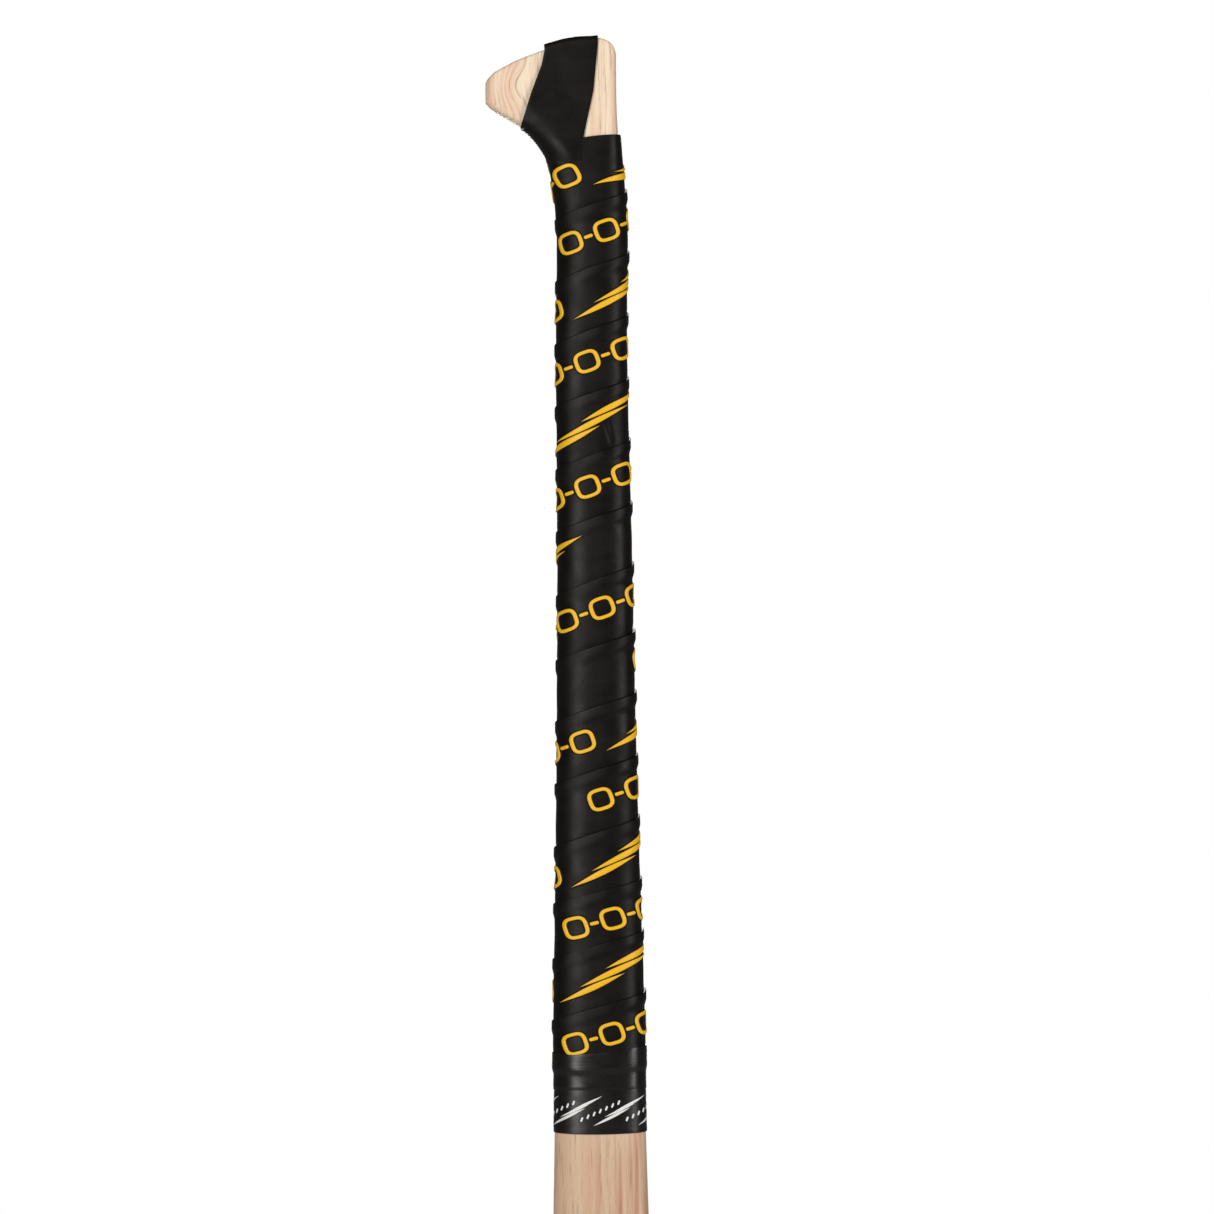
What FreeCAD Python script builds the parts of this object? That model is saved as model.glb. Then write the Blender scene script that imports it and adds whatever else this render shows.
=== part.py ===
"""A full-size ash hurley (hurling stick) with a wound grip, finishing tapes and nailed toe bands.

Frame: +Z runs up the handle, the front cheek faces -Y, and the knob and the toe point to -X.
The origin is on the handle's axis, in the middle of the upper hand's hold.
"down" is always the distance below the top of the knob.
"""
import FreeCAD, Part
import math
import os

# Driving dimensions, in millimetres
HAND_HOLD_DOWN = 100.0
LENGTH = 914.0
SECTION_POINTS = 32
STATIONS_PER_FACE = 3

# Half thickness of the wood: (down, half thickness); straight lines between, and a flat taper in the bas
KNOB_HALF_THICKNESS = 9.5
GRIP_HALF_THICKNESS = 8.8
THROAT_HALF_THICKNESS = 9.8
CHEEK_TOP_DOWN = 700.0
CHEEK_TOP_HALF_THICKNESS = 8.2
CHEEK_END_HALF_THICKNESS = 4.8
CHEEK_SLOPE = (CHEEK_TOP_HALF_THICKNESS - CHEEK_END_HALF_THICKNESS) / (LENGTH - CHEEK_TOP_DOWN)

# How square a section is: 2 is an ellipse, larger numbers are flatter cheeks with tighter edges
KNOB_SQUARENESS = 6.5
NECK_SQUARENESS = 3.6
HANDLE_SQUARENESS = 2.5
BAS_SQUARENESS = 7.0

# Sections of the wood: left end (x, down), right end (x, down), squareness
KNOB_SECTIONS = [((-46.6, down), (right, down), KNOB_SQUARENESS)
                 for down, right in [(-6.0, 10.9), (0.0, 10.9), (10.0, 11.1), (20.0, 11.4), (25.0, 11.6)]]
KNOB_FLANK_SECTIONS = [
    ((-46.0, 28.0), (11.7, 28.0), 6.5),
    ((-43.6, 30.5), (11.8, 30.5), 6.4),
    ((-37.8, 34.2), (11.9, 34.2), 6.0),
    ((-30.2, 38.8), (12.1, 38.8), 5.3),
    ((-26.0, 42.2), (12.4, 42.2), 4.8),
    ((-21.6, 47.5), (12.9, 47.5), 4.2),
    ((-18.5, 53.0), (13.3, 53.0), NECK_SQUARENESS),
    ((-16.7, 60.5), (13.7, 60.5), 3.2),
]
HANDLE_SECTIONS = [((-half_width, down), (half_width, down), HANDLE_SQUARENESS)
                   for down, half_width in [(76.0, 14.8), (110.0, 14.6), (203.0, 15.2), (291.0, 16.2),
                                            (379.0, 17.9), (423.0, 19.0), (481.0, 20.1), (540.0, 21.5)]]
BAS_SECTIONS = [
    ((-22.7, 600.0), (22.6, 600.0), 2.7),
    ((-25.2, 640.0), (24.0, 640.0), 3.2),
    ((-30.5, 682.0), (26.5, 690.0), 4.2),
    ((-38.0, 721.0), (29.9, 743.0), 5.6),
    ((-48.5, 757.0), (34.2, 797.0), BAS_SQUARENESS),
    ((-60.5, 790.0), (36.0, 850.0), BAS_SQUARENESS),
    ((-70.2, 817.0), (23.0, 895.0), BAS_SQUARENESS),
    ((-78.5, 836.5), (-10.0, 913.2), BAS_SQUARENESS),
    ((-83.6, 846.0), (-42.0, 904.8), BAS_SQUARENESS),
]

# The toe ends in an arc, with its edge rounded over
TOE_CENTRE = (-64.0, 868.0)
TOE_RADIUS = 28.0
TOE_HEADING = math.radians(157.6)
TOE_EDGE_RADIUS = 4.5
TOE_HALF_ANGLES = (50.6, 38.0, 27.0, 18.0, 9.0)

# The grip: one rubber strip looped over the knob and wound down the handle
RUBBER_THICKNESS = 1.1
WOUND_THICKNESS = 1.3
GRIP_END_DOWN = 452.0
GRIP_OUTLINE = [(-60.0, 44.7), (-3.2, 44.7), (13.7, 42.2), (60.0, 42.2), (60.0, GRIP_END_DOWN),
                (-60.0, GRIP_END_DOWN)]
STRAP_OUTLINE = [(-15.2, -10.0), (-21.1, 11.9), (-25.9, 24.4), (-29.8, 37.0), (-29.8, 62.0),
                 (-3.2, 62.0), (-3.2, 44.7), (1.6, 23.5), (5.0, -10.0)]

# The two finishing tapes
PLAIN_TAPE_TOP_DOWN = 445.0
TAPE_JOINT_DOWN = 463.0
PRINTED_TAPE_END_DOWN = 481.8
PLAIN_TAPE_THICKNESS = 0.35
PLAIN_TAPE_ON_WOOD = 0.8
PLAIN_TAPE_STEP_DOWN = 455.0
PRINTED_TAPE_THICKNESS = 0.55

# The steel bands round the toe, and the tacks that hold them
BAND_THICKNESS = 0.5
BAND_WIDTH = 19.0
BANDS = {
    "toe_band": {"middle": (-66.5, 873.0), "lean": 60.0, "tacks": (-18.0, 2.0, 22.0)},
    "heel_band": {"middle": (-34.5, 854.5), "lean": 54.0, "tacks": (-42.0, -12.0, 18.0, 48.0)},
}
TACK_SHANK_RADIUS = 0.8
TACK_SHANK_LENGTH = 4.0
TACK_HEAD_RADIUS = 2.3
TACK_HEAD_HEIGHT = 0.8

# A sanded flat on each cheek of the bas
CHEEK_FLAT_CENTRE = (-6.0, 778.0)
CHEEK_FLAT_RADIUS = 24.0
CHEEK_FLAT_DEPTH = 0.12


def place(x, down, y=0.0):
    return FreeCAD.Vector(x, y, HAND_HOLD_DOWN - down)


def cheek_half_thickness(down):
    return CHEEK_TOP_HALF_THICKNESS - CHEEK_SLOPE * (down - CHEEK_TOP_DOWN)


def half_thickness(down):
    """The knob is a little thicker than the grip, and the bas is a flat wedge."""
    stations = [(40.0, KNOB_HALF_THICKNESS), (75.0, GRIP_HALF_THICKNESS), (560.0, THROAT_HALF_THICKNESS),
                (640.0, 9.3), (CHEEK_TOP_DOWN, CHEEK_TOP_HALF_THICKNESS)]
    if down <= stations[0][0]:
        return KNOB_HALF_THICKNESS
    for (down_a, half_a), (down_b, half_b) in zip(stations, stations[1:]):
        if down <= down_b:
            return half_a + (half_b - half_a) * (down - down_a) / (down_b - down_a)
    return cheek_half_thickness(down)


def half_outline(half_width, half_depth, squareness):
    """Points evenly spaced round the front half of a superellipse, as fractions of its two halves."""
    fine = []
    for step in range(401):
        turn = math.pi * step / 400
        across = math.copysign(abs(math.cos(turn)) ** (2 / squareness), math.cos(turn))
        out = abs(math.sin(turn)) ** (2 / squareness)
        fine.append((across, out))
    lengths = [0.0]
    for a, b in zip(fine, fine[1:]):
        lengths.append(lengths[-1] + math.hypot((b[0] - a[0]) * half_width, (b[1] - a[1]) * half_depth))
    points = []
    index = 0
    for step in range(SECTION_POINTS // 2 + 1):
        wanted = lengths[-1] * step / (SECTION_POINTS // 2)
        while index < len(fine) - 2 and lengths[index + 1] < wanted:
            index += 1
        part = (wanted - lengths[index]) / (lengths[index + 1] - lengths[index])
        a, b = fine[index], fine[index + 1]
        points.append((a[0] + (b[0] - a[0]) * part, a[1] + (b[1] - a[1]) * part))
    return points


def section_curve(left, right, squareness, grow, thinning=1.0):
    """One closed section, in the plane that holds left, right and the Y axis."""
    half_width = math.dist(left, right) / 2
    stretch = (half_width + grow) / half_width
    middle = ((left[0] + right[0]) / 2, (left[1] + right[1]) / 2)
    front = []
    for across, out in half_outline(half_width, half_thickness(middle[1]), squareness):
        x = middle[0] + across * stretch * (right[0] - left[0]) / 2
        down = middle[1] + across * stretch * (right[1] - left[1]) / 2
        front.append((x, down, out * (half_thickness(down) * thinning + grow)))
    points = [place(x, down, -y) for x, down, y in front]
    points += [place(x, down, y) for x, down, y in reversed(front[1:-1])]
    curve = Part.BSplineCurve()
    curve.interpolate(Points=points, PeriodicFlag=True,
                      Parameters=[step / len(points) for step in range(len(points) + 1)])
    return curve


def skin(curves):
    """A solid through closed sections that share one knot vector, capped flat at both ends."""
    stations = [0.0]
    columns = list(zip(*[curve.getPoles() for curve in curves]))
    middles = [sum(curve.getPoles(), FreeCAD.Vector()) / len(columns) for curve in curves]
    for a, b in zip(middles, middles[1:]):
        stations.append(stations[-1] + a.distanceToPoint(b))
    lines = []
    for column in columns:
        line = Part.BSplineCurve()
        line.interpolate(Points=list(column), Parameters=stations)
        lines.append(line)
    poles = [list(row) for row in zip(*[line.getPoles() for line in lines])]
    around = curves[0]
    surface = Part.BSplineSurface()
    surface.buildFromPolesMultsKnots(poles, lines[0].getMultiplicities(), around.getMultiplicities(),
                                     lines[0].getKnots(), around.getKnots(), False, True,
                                     lines[0].Degree, around.Degree)
    breaks = stations[:-2:STATIONS_PER_FACE] + [stations[-1]]
    sides = [surface.toShape(low, high, around.FirstParameter, around.LastParameter)
             for low, high in zip(breaks, breaks[1:])]
    caps = [Part.Face(Part.Wire(surface.uIso(end).toShape())) for end in (stations[0], stations[-1])]
    shell = Part.makeShell(sides + caps)
    shell.sewShape()
    return Part.makeSolid(shell.Shells[0])


def toe_sections():
    """Chords of the toe's arc, the last ones thinner where the edge is rounded over."""
    ahead = (math.cos(TOE_HEADING), math.sin(TOE_HEADING))
    aside = (math.sin(TOE_HEADING), -math.cos(TOE_HEADING))
    for degrees in TOE_HALF_ANGLES:
        along = TOE_RADIUS * math.cos(math.radians(degrees))
        across = TOE_RADIUS * math.sin(math.radians(degrees))
        foot = (TOE_CENTRE[0] + ahead[0] * along, TOE_CENTRE[1] + ahead[1] * along)
        from_tip = min(TOE_RADIUS - along, TOE_EDGE_RADIUS)
        thinning = math.sqrt(1 - (1 - from_tip / TOE_EDGE_RADIUS) ** 2)
        left = (foot[0] - aside[0] * across, foot[1] - aside[1] * across)
        right = (foot[0] + aside[0] * across, foot[1] + aside[1] * across)
        yield left, right, thinning


def prism(outline, half_depth=40.0):
    """A front outline of (x, down) points, extruded through the whole thickness."""
    corners = [place(x, down, -half_depth) for x, down in outline]
    face = Part.Face(Part.makePolygon(corners + corners[:1]))
    return face.extrude(FreeCAD.Vector(0, 2 * half_depth, 0))


def above_knob_top(grow):
    """The space over the knob's domed top, raised by the growth."""
    half_depth = 40.0
    edges = [
        Part.LineSegment(place(-90.0, 60.0), place(-41.9, 14.7)),
        Part.Arc(place(-41.9, 14.7), place(-18.5, 4.7), place(3.9, 0.0)),
        Part.Arc(place(3.9, 0.0), place(8.9, 1.8), place(12.2, 6.5)),
        Part.LineSegment(place(12.2, 6.5), place(60.0, 60.0)),
        Part.LineSegment(place(60.0, 60.0), place(60.0, -60.0)),
        Part.LineSegment(place(60.0, -60.0), place(-90.0, -60.0)),
        Part.LineSegment(place(-90.0, -60.0), place(-90.0, 60.0)),
    ]
    face = Part.Face(Part.Wire([edge.toShape() for edge in edges]))
    face.translate(FreeCAD.Vector(0, -half_depth, grow))
    return face.extrude(FreeCAD.Vector(0, 2 * half_depth, 0))


def stick_shape(grow=0.0, top=-10.0, bottom=2 * LENGTH):
    """The stick's outer form, grown by a skin's thickness, from the sections between top and bottom."""
    rows = KNOB_SECTIONS + KNOB_FLANK_SECTIONS + HANDLE_SECTIONS + BAS_SECTIONS
    curves = [section_curve(left, right, squareness, grow) for left, right, squareness in rows
              if top <= left[1] <= bottom]
    if bottom > LENGTH:
        curves += [section_curve(left, right, BAS_SQUARENESS, grow, thinning)
                   for left, right, thinning in toe_sections()]
    shape = skin(curves)
    return shape.cut(above_knob_top(grow)) if top < 0 else shape


def slab(top, bottom):
    """The space between two heights."""
    return prism([(-140.0, top), (60.0, top), (60.0, bottom), (-140.0, bottom)])


def cheek_flats():
    """What is sanded off each cheek, one disc's worth on the front and one on the back."""
    centre_x, centre_down = CHEEK_FLAT_CENTRE
    half = cheek_half_thickness(centre_down) - CHEEK_FLAT_DEPTH
    tilt = math.degrees(math.atan(CHEEK_SLOPE))
    discs = []
    for side in (-1, 1):
        disc = Part.makeCylinder(CHEEK_FLAT_RADIUS, 5.0, FreeCAD.Vector(0, 0, 0), FreeCAD.Vector(0, side, 0))
        disc.rotate(FreeCAD.Vector(0, 0, 0), FreeCAD.Vector(1, 0, 0), side * -tilt)
        disc.translate(place(centre_x, centre_down, side * half))
        discs.append(disc)
    return discs


def tack_head():
    """A domed head standing on the origin, along +Y."""
    head = Part.makeCylinder(TACK_HEAD_RADIUS, TACK_HEAD_HEIGHT, FreeCAD.Vector(0, 0, 0), FreeCAD.Vector(0, 1, 0))
    rim = [edge for edge in head.Edges if abs(edge.CenterOfMass.y - TACK_HEAD_HEIGHT) < 0.01
           and abs(edge.Length - 2 * math.pi * TACK_HEAD_RADIUS) < 0.01]
    return head.makeFillet(TACK_HEAD_HEIGHT * 0.7, rim)


def tack_shank():
    """The shank below the head, from the origin along -Y."""
    return Part.makeCylinder(TACK_SHANK_RADIUS, TACK_SHANK_LENGTH, FreeCAD.Vector(0, 0, 0),
                             FreeCAD.Vector(0, -1, 0))


def at_tacks(band, make):
    """One shape for each tack: a row along the band's middle line, on the front and on the back."""
    lean = math.radians(band["lean"])
    tilt = math.degrees(math.atan(CHEEK_SLOPE))
    shapes = []
    for side in (-1, 1):
        for along in band["tacks"]:
            x = band["middle"][0] + along * math.cos(lean)
            down = band["middle"][1] + along * math.sin(lean)
            shape = make()
            shape.rotate(FreeCAD.Vector(0, 0, 0), FreeCAD.Vector(0, 0, 1), 0 if side > 0 else 180)
            shape.rotate(FreeCAD.Vector(0, 0, 0), FreeCAD.Vector(1, 0, 0), side * -tilt)
            shape.translate(place(x, down, side * (cheek_half_thickness(down) + BAND_THICKNESS)))
            shapes.append(shape)
    return shapes


def band_zone(band):
    """A long strip across the bas, as wide as the band, at the band's lean."""
    lean = math.radians(band["lean"])
    along = (math.cos(lean), math.sin(lean))
    aside = (-along[1], along[0])
    reach = 90.0
    corners = []
    for far, wide in ((-1, -1), (1, -1), (1, 1), (-1, 1)):
        corners.append((band["middle"][0] + far * reach * along[0] + wide * BAND_WIDTH / 2 * aside[0],
                        band["middle"][1] + far * reach * along[1] + wide * BAND_WIDTH / 2 * aside[1]))
    return prism(corners)


def grip(wood):
    """The wound rubber as a plain sleeve, joined to the strap that loops over the knob."""
    sleeve = stick_shape(WOUND_THICKNESS, 20.0, 485.0).common(prism(GRIP_OUTLINE))
    strap = stick_shape(RUBBER_THICKNESS, -10.0, 120.0).common(prism(STRAP_OUTLINE))
    return sleeve.fuse(strap).cut(wood).removeSplitter()


def tape_turns(top, bottom, thickness):
    return stick_shape(thickness, 370.0, 545.0).common(slab(top, bottom))


def plain_tape(wood, grip_tape):
    """The first tape: it holds the grip's end down, then runs on to bare wood."""
    over_grip = tape_turns(PLAIN_TAPE_TOP_DOWN, PLAIN_TAPE_STEP_DOWN, WOUND_THICKNESS + PLAIN_TAPE_THICKNESS)
    on_wood = tape_turns(PLAIN_TAPE_STEP_DOWN, TAPE_JOINT_DOWN, PLAIN_TAPE_ON_WOOD)
    return over_grip.fuse(on_wood).cut(grip_tape).cut(wood)


def printed_tape(wood):
    return tape_turns(TAPE_JOINT_DOWN, PRINTED_TAPE_END_DOWN, PRINTED_TAPE_THICKNESS).cut(wood)


def export(name, shapes):
    whole = shapes[0] if len(shapes) == 1 else Part.makeCompound(shapes)
    whole.exportStep(f"parts/{name}.step")
    print(f"{name}: solids {len(whole.Solids)}, valid {whole.isValid()}, volume {whole.Volume / 1000:.2f} cm3")


def main():
    os.makedirs("parts", exist_ok=True)
    wood = stick_shape()
    for disc in cheek_flats():
        wood = wood.cut(disc)
    bands = {name: stick_shape(BAND_THICKNESS, 500.0).common(band_zone(band)).cut(wood)
             for name, band in BANDS.items()}
    tacks = {}
    for name, band in BANDS.items():
        shanks = at_tacks(band, tack_shank)
        for shank in shanks:
            bands[name] = bands[name].cut(shank)
            wood = wood.cut(shank)
        tacks[name] = [head.fuse(shank) for head, shank in zip(at_tacks(band, tack_head), shanks)]
    grip_tape = grip(wood)
    export("ash_stick", [wood])
    export("grip_tape", [grip_tape])
    export("plain_finishing_tape", [plain_tape(wood, grip_tape)])
    export("printed_finishing_tape", [printed_tape(wood)])
    for name in BANDS:
        export(name, [bands[name]])
        export(f"{name}_tacks", tacks[name])


main()
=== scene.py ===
"""Looks for a full-size ash hurley: grained ash, a wound rubber grip, two vinyl tapes and nailed bands.

Metres, in the frame of the CAD model: +Z up the handle, the front cheek faces -Y, knob and toe point to -X.
Lengths below are written in millimetres and scaled by MM where points are made.
"down" is the distance below the top of the knob, as in the CAD model.
"""
import math

import bpy
import numpy as np
from mathutils import Matrix, Vector


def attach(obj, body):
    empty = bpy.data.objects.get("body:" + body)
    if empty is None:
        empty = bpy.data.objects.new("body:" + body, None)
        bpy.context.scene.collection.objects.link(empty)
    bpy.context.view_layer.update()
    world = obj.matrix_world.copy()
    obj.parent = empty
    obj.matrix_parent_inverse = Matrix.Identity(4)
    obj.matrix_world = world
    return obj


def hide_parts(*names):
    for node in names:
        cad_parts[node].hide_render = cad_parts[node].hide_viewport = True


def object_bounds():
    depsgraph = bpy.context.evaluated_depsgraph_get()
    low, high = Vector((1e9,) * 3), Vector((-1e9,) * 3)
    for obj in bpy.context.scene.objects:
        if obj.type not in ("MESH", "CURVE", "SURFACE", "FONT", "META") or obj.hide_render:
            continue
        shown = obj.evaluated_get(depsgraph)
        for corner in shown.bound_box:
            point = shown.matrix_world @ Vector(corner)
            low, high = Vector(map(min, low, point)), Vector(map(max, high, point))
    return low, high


MM = 0.001
HAND_HOLD_DOWN = 100.0
POINTS_AROUND = 128

# How square a section is: 2 is an ellipse, larger numbers are flatter cheeks with tighter edges
KNOB_SQUARENESS = 6.5
HANDLE_SQUARENESS = 2.5
BAS_SQUARENESS = 7.0

# Sections of the wood, as in the CAD model: left end (x, down), right end (x, down), squareness
KNOB_SECTIONS = [((-46.6, down), (right, down), KNOB_SQUARENESS)
                 for down, right in ((10.0, 11.1), (20.0, 11.4), (25.0, 11.6))]
KNOB_FLANK_SECTIONS = [
    ((-46.0, 28.0), (11.7, 28.0), 6.5),
    ((-43.6, 30.5), (11.8, 30.5), 6.4),
    ((-37.8, 34.2), (11.9, 34.2), 6.0),
    ((-30.2, 38.8), (12.1, 38.8), 5.3),
    ((-26.0, 42.2), (12.4, 42.2), 4.8),
    ((-21.6, 47.5), (12.9, 47.5), 4.2),
    ((-18.5, 53.0), (13.3, 53.0), 3.6),
    ((-16.7, 60.5), (13.7, 60.5), 3.2),
]
HANDLE_SECTIONS = [((-half_width, down), (half_width, down), HANDLE_SQUARENESS)
                   for down, half_width in ((76.0, 14.8), (110.0, 14.6), (203.0, 15.2), (291.0, 16.2),
                                            (379.0, 17.9), (423.0, 19.0), (481.0, 20.1), (540.0, 21.5))]
BAS_SECTIONS = [
    ((-22.7, 600.0), (22.6, 600.0), 2.7),
    ((-25.2, 640.0), (24.0, 640.0), 3.2),
    ((-30.5, 682.0), (26.5, 690.0), 4.2),
    ((-38.0, 721.0), (29.9, 743.0), 5.6),
    ((-48.5, 757.0), (34.2, 797.0), BAS_SQUARENESS),
    ((-60.5, 790.0), (36.0, 850.0), BAS_SQUARENESS),
    ((-70.2, 817.0), (23.0, 895.0), BAS_SQUARENESS),
    ((-78.5, 836.5), (-10.0, 913.2), BAS_SQUARENESS),
    ((-83.6, 846.0), (-42.0, 904.8), BAS_SQUARENESS),
]
SECTIONS = KNOB_SECTIONS + KNOB_FLANK_SECTIONS + HANDLE_SECTIONS + BAS_SECTIONS
THICKNESS_DOWNS = (40.0, 75.0, 560.0, 640.0, 700.0, 914.0)
HALF_THICKNESSES = (9.5, 8.8, 9.8, 9.3, 8.2, 4.8)
TOE_CENTRE = (-64.0, 868.0)
TOE_RADIUS = 28.0
TOE_HEADING = math.radians(157.6)
TOE_EDGE_RADIUS = 4.5
TOE_HALF_ANGLES = (50.6, 38.0, 27.0, 18.0, 9.0, 3.0)
WOOD_ROW_SPACING = 3.4

# The knob's top: a straight bevel on the nose, then a dome through these places (x) and downs.
# The knob has its own rows of points down to its ring, and the rings of the sections start there.
KNOB_EDGE_RADIUS = 1.3
KNOB_RING_DOWN = 27.9
BEVEL_END_X = -41.9
BEVEL_END_DOWN = 14.7
BEVEL_SLOPE = 0.95
DOME_PLACES = (BEVEL_END_X, -32.9, -25.5, -18.5, -12.0, -4.7, 3.9, 6.6, 8.9, 10.3, 12.2)
DOME_DOWNS = (BEVEL_END_DOWN, 10.0, 7.1, 4.7, 2.9, 1.2, 0.0, 0.6, 1.8, 3.2, 6.5)

# The grain: where the tree's pith was (across, depth), its rings' spacing, and a small knot in the nose
PITH_ACROSS = 62.0
PITH_DEPTH = 34.0
RING_SPACING = 3.1
KNOT_X = -34.6
KNOT_DOWN = 21.0
KNOT_PUSH = 5.5
BAS_START = 600.0
BAS_START_RIGHT = 22.6

# The grip: one strip. Its top edge's downs at the early turns, then a pitch and how far each turn strays
RUBBER = 1.05
STRIP_WIDTH = 31.5
STRIP_EDGE_RADIUS = 0.4
EARLY_TURNS = (-0.5, 0.0, 0.27, 0.5, 0.75)
EARLY_DOWNS = (40.0, 42.4, 44.9, 52.5, 60.0)
FIRST_WHOLE_TURN_DOWN = 66.7
PITCH = 27.2
STRAYS = (0.0, 0.0, 0.1, 1.1, 0.7, 1.7, 1.3, 3.6, 3.2, 3.8, 3.8, 3.9, -0.4, -0.8, -1.5, -2.0)
GRIP_END_DOWN = 452.0
FIRST_TURN = -0.45
LAST_TURN = 15.3
STEPS_PER_TURN = 112
LAP_RISE = 0.85
CREASE_TURN = 4.165

# The strap over the knob: where its left and right edges are (x) at these downs
STRAP_LEFT_DOWNS = (-10.0, 11.9, 24.4, 37.0, 62.0)
STRAP_LEFTS = (-15.2, -21.1, -25.9, -29.8, -29.8)
STRAP_RIGHT_DOWNS = (-10.0, 23.5, 44.7, 62.0)
STRAP_RIGHTS = (5.0, 1.6, -3.2, -4.5)
STRAP_END_DOWN = 60.0
STRAP_THICKNESS = 1.0
STRAP_LIFT = 0.6
STRAP_BULGE = 1.4

# The marks moulded on the strip: the turns where a run starts, and its line below the strip's top edge
MARK_STARTS = (1.45, 3.55, 5.75, 8.05, 10.3, 12.42, 14.42)
MARKS_FIRST_TURN = -0.35
MARKS_LAST_TOP = 434.0
MARK_LINE = 13.5
MARK_HEIGHT = 10.0
MARK_SLANT = 0.3
MARK_SQUASH = 0.96
STROKE_WIDTH = 1.75
LINK_COUNT = 6
LINK_WIDTH = 8.8
FIRST_LINK = 6.0
LINK_SPACING = 15.8
BAR_REACH = (6.0, 9.8)
STREAK_START = 93.0
STREAKS = ((0.0, -4.9, 30.0), (10.0, 0.0, 34.0), (23.0, 4.9, 30.0))
STREAK_RISE = math.tan(math.radians(10))
STREAK_HALF_WIDTH = 1.45

# The tapes: places down, heights above the wood, and the print on the second one
TAPE_STEPS = 192
PLAIN_TAPE_TOP = 444.9
TAPE_JOINT = 462.7
TAPE_END = 481.8
OVER_GRIP = RUBBER + 0.42
PRINTED_HEIGHT = 0.56
PRINT_REPEATS = 5
PRINT_TICKS = 7
TICK_SPACING = 2.7

# The stage, in metres: softboxes are (name, azimuth, distance, height, width, tall, watts)
SOFTBOXES = (
    ("left_softbox", -23.5, 1.6, 0.1, 0.36, 1.6, 15.5),
    ("right_softbox", 50.0, 1.6, 0.1, 0.4, 1.6, 12.5),
    ("back_softbox", 180.0, 1.8, 0.3, 0.6, 1.6, 26.0),
)
LIGHT_COLOUR = (1.0, 0.965, 0.93)
FLOOR_RADIUS = 3
CAMERA_PLACE = (0.0053, -2.976, -0.1506)
CAMERA_ROLL = -0.58

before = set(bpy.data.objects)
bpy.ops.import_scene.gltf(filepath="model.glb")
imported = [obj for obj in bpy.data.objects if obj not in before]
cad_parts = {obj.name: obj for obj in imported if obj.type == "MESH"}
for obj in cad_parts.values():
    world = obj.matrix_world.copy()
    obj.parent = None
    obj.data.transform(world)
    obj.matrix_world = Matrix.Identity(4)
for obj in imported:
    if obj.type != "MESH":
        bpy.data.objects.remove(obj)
cad_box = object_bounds()


# ---------------------------------------------------------------- the stick's surface

def half_thickness(down):
    return np.interp(down, THICKNESS_DOWNS, HALF_THICKNESSES)


def knob_top(x):
    """How far below its highest point the knob's top lies, from the nose's bevel to the back corner."""
    bevel = BEVEL_END_DOWN + (BEVEL_END_X - x) * BEVEL_SLOPE
    return np.where(x < BEVEL_END_X, bevel, np.interp(x, DOME_PLACES, DOME_DOWNS))


def half_outline(half_width, half_depth, squareness, count):
    """Fractions (across, out) evenly spaced round the front half of a superellipse, right end to left end."""
    turn = np.linspace(0.0, math.pi, 801)
    across = np.sign(np.cos(turn)) * np.abs(np.cos(turn)) ** (2 / squareness)
    out = np.abs(np.sin(turn)) ** (2 / squareness)
    runs = np.hypot(np.diff(across) * half_width, np.diff(out) * half_depth)
    lengths = np.concatenate(([0.0], np.cumsum(runs)))
    wanted = np.linspace(0.0, lengths[-1], count)
    return np.interp(wanted, lengths, across), np.interp(wanted, lengths, out)


def section_ring(left, right, squareness, thinning=1.0):
    """One closed ring of (x, y, down) points, from the right end round the front."""
    left, right = np.array(left), np.array(right)
    middle = (left + right) / 2
    half_width = np.linalg.norm(right - left) / 2
    across, out = half_outline(half_width, half_thickness(middle[1]), squareness, POINTS_AROUND // 2 + 1)
    flat = middle + np.outer(across, (right - left) / 2)
    depth = out * half_thickness(flat[:, 1]) * thinning
    front = np.column_stack((flat[:, 0], -depth, flat[:, 1]))
    back = front[1:-1][::-1] * (1, -1, 1)
    return np.vstack((front, back))


def toe_rings():
    """Rings across the round toe, thinning where its edge is rounded over."""
    ahead = np.array((math.cos(TOE_HEADING), math.sin(TOE_HEADING)))
    aside = np.array((math.sin(TOE_HEADING), -math.cos(TOE_HEADING)))
    rings = []
    for degrees in TOE_HALF_ANGLES:
        along = TOE_RADIUS * math.cos(math.radians(degrees))
        across = TOE_RADIUS * math.sin(math.radians(degrees))
        foot = np.array(TOE_CENTRE) + ahead * along
        from_tip = min(TOE_RADIUS - along, TOE_EDGE_RADIUS)
        thinning = math.sqrt(1 - (1 - from_tip / TOE_EDGE_RADIUS) ** 2)
        rings.append(section_ring(foot - aside * across, foot + aside * across, BAS_SQUARENESS, thinning))
    return rings


def spline_rows(knots, values, wanted):
    """A natural cubic spline through rows of values, read at the wanted places."""
    gaps = np.diff(knots)
    slopes = np.diff(values, axis=0) / gaps[:, None]
    count = len(knots)
    system = np.eye(count)
    right_side = np.zeros_like(values)
    for i in range(1, count - 1):
        system[i, i - 1:i + 2] = gaps[i - 1], 2 * (gaps[i - 1] + gaps[i]), gaps[i]
        right_side[i] = 6 * (slopes[i] - slopes[i - 1])
    bends = np.linalg.solve(system, right_side)
    index = np.clip(np.searchsorted(knots, wanted) - 1, 0, count - 2)
    gap = gaps[index][:, None]
    after = (np.asarray(wanted) - knots[index])[:, None]
    before = gap - after
    return (values[index] * before + values[index + 1] * after) / gap - before * after / 6 * (
        bends[index] * (1 + before / gap) + bends[index + 1] * (1 + after / gap))


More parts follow.
